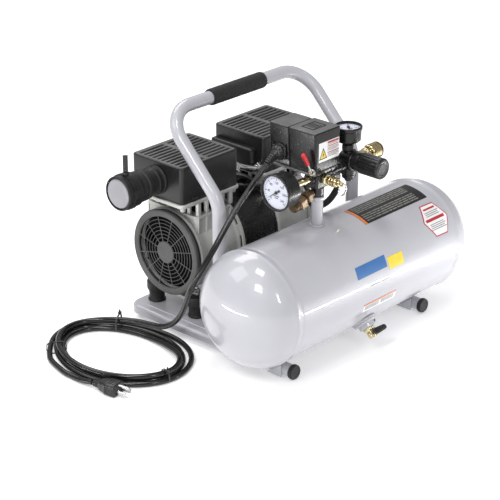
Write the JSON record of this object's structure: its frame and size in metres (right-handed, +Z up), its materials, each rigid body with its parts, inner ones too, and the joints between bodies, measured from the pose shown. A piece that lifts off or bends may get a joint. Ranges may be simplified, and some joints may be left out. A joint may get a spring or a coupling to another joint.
{
  "type": "airbrush compressor",
  "caption": "Portable oil-free air compressor: pump heads on a motor beside a small horizontal tank, with regulator, gauges, carry handle and coiled supply cord.",
  "frame": {"origin": "on the floor, under the middle of the compressor's bounding box without its cord", "axes": "+X along the tank towards the air outlet, +Y from the tank towards the pump, +Z up"},
  "size_m": [0.5693, 0.3685, 0.3282],
  "materials": {
    "grey_paint": "gloss light grey powder coat",
    "cast_alloy": "sand-textured casting",
    "black_shell": "satin black enamel",
    "grey_plastic": "moulded dark grey",
    "pale_plastic": "moulded pale grey",
    "black_plastic": "moulded black",
    "rubber": "moulded rubber",
    "foam": "closed-cell foam sleeve",
    "steel": "bright steel",
    "brass": "machined brass",
    "red_plastic": "red dipped vinyl",
    "cord": "gloss black cord jacket"
  },
  "bodies": {
    "compressor": {"tank_barrel": "grey_paint", "tank_end_left": "grey_paint", "tank_end_right": "grey_paint", "skid_tube_left": "grey_paint", "skid_tube_right": "grey_paint", "base_plate": "grey_paint", "handle_tube": "grey_paint", "riser_pipe": "grey_paint", "crankcase_left": "cast_alloy", "crankcase_right": "cast_alloy", "cylinder_left": "cast_alloy", "cylinder_right": "cast_alloy", "motor_shell": "black_shell", "tank_gauge_case": "black_shell", "outlet_gauge_case": "black_shell", "switch_base": "black_shell", "head_cover_left": "grey_plastic", "head_cover_right": "grey_plastic", "fan_guard_left": "grey_plastic", "fan_guard_right": "grey_plastic", "switch_cover": "grey_plastic", "intake_filter_cap": "pale_plastic", "manifold_hub": "black_plastic", "regulator_body": "black_plastic", "cord_gland": "black_plastic", "plug": "black_plastic", "motor_lead": "black_plastic", "foot_cap_front_left": "rubber", "foot_cap_front_right": "rubber", "foot_cap_rear_left": "rubber", "foot_cap_rear_right": "rubber", "rubber_mount_front_left": "rubber", "rubber_mount_front_right": "rubber", "rubber_mount_rear_left": "rubber", "rubber_mount_rear_right": "rubber", "intake_filter_body": "rubber", "discharge_hose": "rubber", "handle_grip": "foam", "motor_stator": "steel", "crossover_tube": "steel", "check_valve": "brass", "coupler_body": "brass", "safety_valve_body": "brass", "drain_valve_body": "brass", "cord_tube": "cord", "cord_coil": "cord", "cord_tail": "cord"},
    "rotor": {"rotor_shaft": "steel", "fan_left": "black_plastic", "fan_right": "black_plastic"},
    "piston_left": {"piston_left": "steel"},
    "piston_right": {"piston_right": "steel"},
    "regulator_knob": {"regulator_knob": "black_plastic"},
    "switch_lever": {"switch_lever": "red_plastic"},
    "drain_lever": {"drain_lever": "black_plastic"},
    "coupler_sleeve": {"coupler_sleeve": "brass"},
    "valve_pull": {"safety_valve_pull": "brass"},
    "valve_ring": {"safety_valve_ring": "steel"},
    "tank_needle": {"tank_gauge_needle": "black_shell"},
    "outlet_needle": {"outlet_gauge_needle": "black_shell"}
  },
  "joints": [
    {"name": "rotor_spin", "type": "hinge", "parent": "compressor", "child": "rotor", "pos_m": [-0.019, 0.10025, 0.1134], "axis": [1, 0, 0], "continuous": true},
    {"name": "piston_left_stroke", "type": "slide", "parent": "compressor", "child": "piston_left", "axis": [0, 0, 1], "range_m": [-0.0075, 0.0075]},
    {"name": "piston_right_stroke", "type": "slide", "parent": "compressor", "child": "piston_right", "axis": [0, 0, 1], "range_m": [-0.0075, 0.0075]},
    {"name": "regulator_knob_turn", "type": "hinge", "parent": "compressor", "child": "regulator_knob", "pos_m": [0.0195, -0.10275, 0.256], "axis": [0, -1, 0], "range_deg": [-540, 540]},
    {"name": "switch_lever_throw", "type": "hinge", "parent": "compressor", "child": "switch_lever", "pos_m": [-0.069, -0.10075, 0.264], "axis": [1, 0, 0], "range_deg": [0, 32]},
    {"name": "drain_lever_turn", "type": "hinge", "parent": "compressor", "child": "drain_lever", "pos_m": [-0.01, -0.16627, 0.03268], "axis": [0, 0.7071, -0.7071], "range_deg": [0, 90]},
    {"name": "coupler_sleeve_slide", "type": "slide", "parent": "compressor", "child": "coupler_sleeve", "axis": [-1, 0, 0], "range_m": [0, 0.0035], "stiffness_N_per_m": 500},
    {"name": "safety_valve_lift", "type": "slide", "parent": "compressor", "child": "valve_pull", "axis": [0, -1, 0], "range_m": [0, 0.003], "stiffness_N_per_m": 500},
    {"name": "safety_ring_swing", "type": "hinge", "parent": "valve_pull", "child": "valve_ring", "pos_m": [-0.045, -0.13305, 0.249], "axis": [1, 0, 0], "range_deg": [-90, 15]},
    {"name": "tank_gauge_turn", "type": "hinge", "parent": "compressor", "child": "tank_needle", "pos_m": [-0.1258, -0.09075, 0.25], "axis": [1, 0, 0], "range_deg": [0, 270], "stiffness_Nm_per_rad": 0.0002},
    {"name": "outlet_gauge_turn", "type": "hinge", "parent": "compressor", "child": "outlet_needle", "pos_m": [0.0165, -0.09075, 0.3003], "axis": [0, 0, -1], "range_deg": [0, 270], "stiffness_Nm_per_rad": 0.0002}
  ]
}
